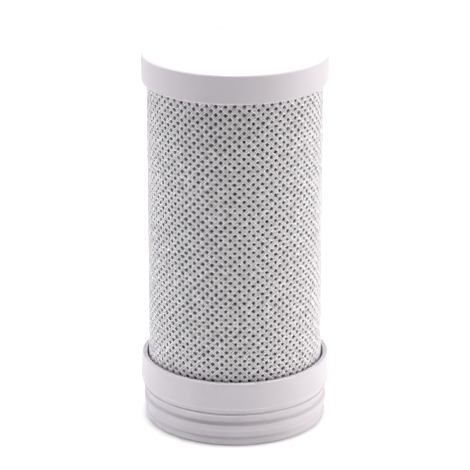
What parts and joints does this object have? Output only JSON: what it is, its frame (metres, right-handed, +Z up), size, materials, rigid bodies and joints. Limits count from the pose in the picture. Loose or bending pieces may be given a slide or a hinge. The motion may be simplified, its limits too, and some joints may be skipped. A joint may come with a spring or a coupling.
{
  "type": "water filter cartridge",
  "caption": "Sealed round carbon-block water filter cartridge with a perforated wrap, a closed top cap and a ringed base with a central outlet.",
  "frame": {"origin": "centre of the base's rest ring, on the plane that the cartridge stands on", "axes": "+Z up along the cartridge's axis, towards the closed top cap; +Y towards the wrap's seam"},
  "size_m": [0.068, 0.068, 0.1365],
  "materials": {
    "moulded_white": "satin moulded polypropylene, cool white",
    "perforated_nonwoven": "matt bonded fibres with a diamond lattice of small holes",
    "carbon": "dull black bonded carbon grains",
    "fine_nonwoven": "matt fine fibres",
    "core_plastic": "natural polypropylene",
    "hot_melt": "semi-matt cream adhesive",
    "gasket_rubber": "matt black rubber"
  },
  "bodies": {
    "root": {"top_cap": "moulded_white", "bottom_cap": "moulded_white", "outer_wrap": "perforated_nonwoven", "carbon_block": "carbon", "core_wrap": "fine_nonwoven", "core_tube": "core_plastic", "top_bond": "hot_melt", "bottom_bond": "hot_melt", "outlet_gasket": "gasket_rubber"}
  },
  "joints": []
}
